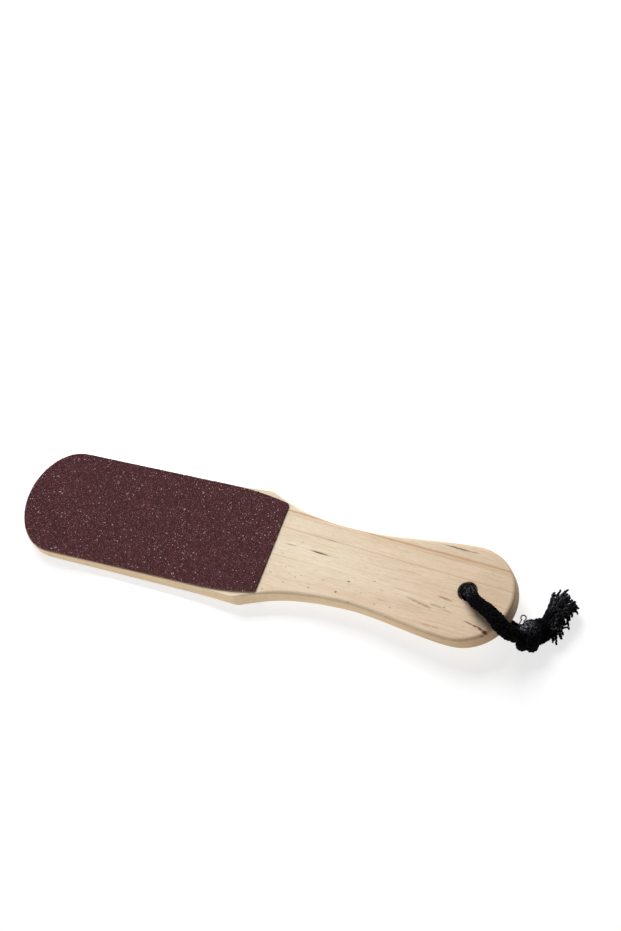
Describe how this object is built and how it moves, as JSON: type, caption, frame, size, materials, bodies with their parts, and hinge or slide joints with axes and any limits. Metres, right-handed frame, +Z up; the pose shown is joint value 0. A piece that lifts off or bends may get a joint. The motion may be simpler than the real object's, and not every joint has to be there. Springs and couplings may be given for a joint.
{
  "type": "foot file",
  "caption": "Wooden paddle foot file with a wedge-thin blade, abrasive sheets on both faces and a knotted cord loop through its handle.",
  "frame": {"origin": "middle of the wooden file seen from above, on the surface that it lies on", "axes": "+X along the file towards the end of the handle, +Z up out of the surface, +Y to the left of +X. The file lies face up on the tapered rear of its blade, so its front face slopes up by 2.73 degrees towards the handle."},
  "size_m": [0.2848, 0.0576, 0.0273],
  "materials": {
    "wood": "pale, fine sanded, unvarnished",
    "glue": "dried adhesive film",
    "backing_paper": "matt kraft backing",
    "coarse_grit": "coarse dark maroon grit",
    "fine_grit": "finer dark maroon grit",
    "cord": "soft black cotton"
  },
  "bodies": {
    "file": {"paddle": "wood", "front_adhesive": "glue", "front_backing": "backing_paper", "front_grit": "coarse_grit", "rear_adhesive": "glue", "rear_backing": "backing_paper", "rear_grit": "fine_grit"},
    "cord": {"cord_loop": "cord", "cord_knot": "cord", "long_tail": "cord", "short_tail": "cord"}
  },
  "joints": [
    {"name": "cord_swing", "type": "hinge", "parent": "file", "child": "cord", "pos_m": [0.10728, 0, 0.0123], "axis": [-0.0476, 0, 0.9989], "range_deg": [-70, 115]}
  ]
}
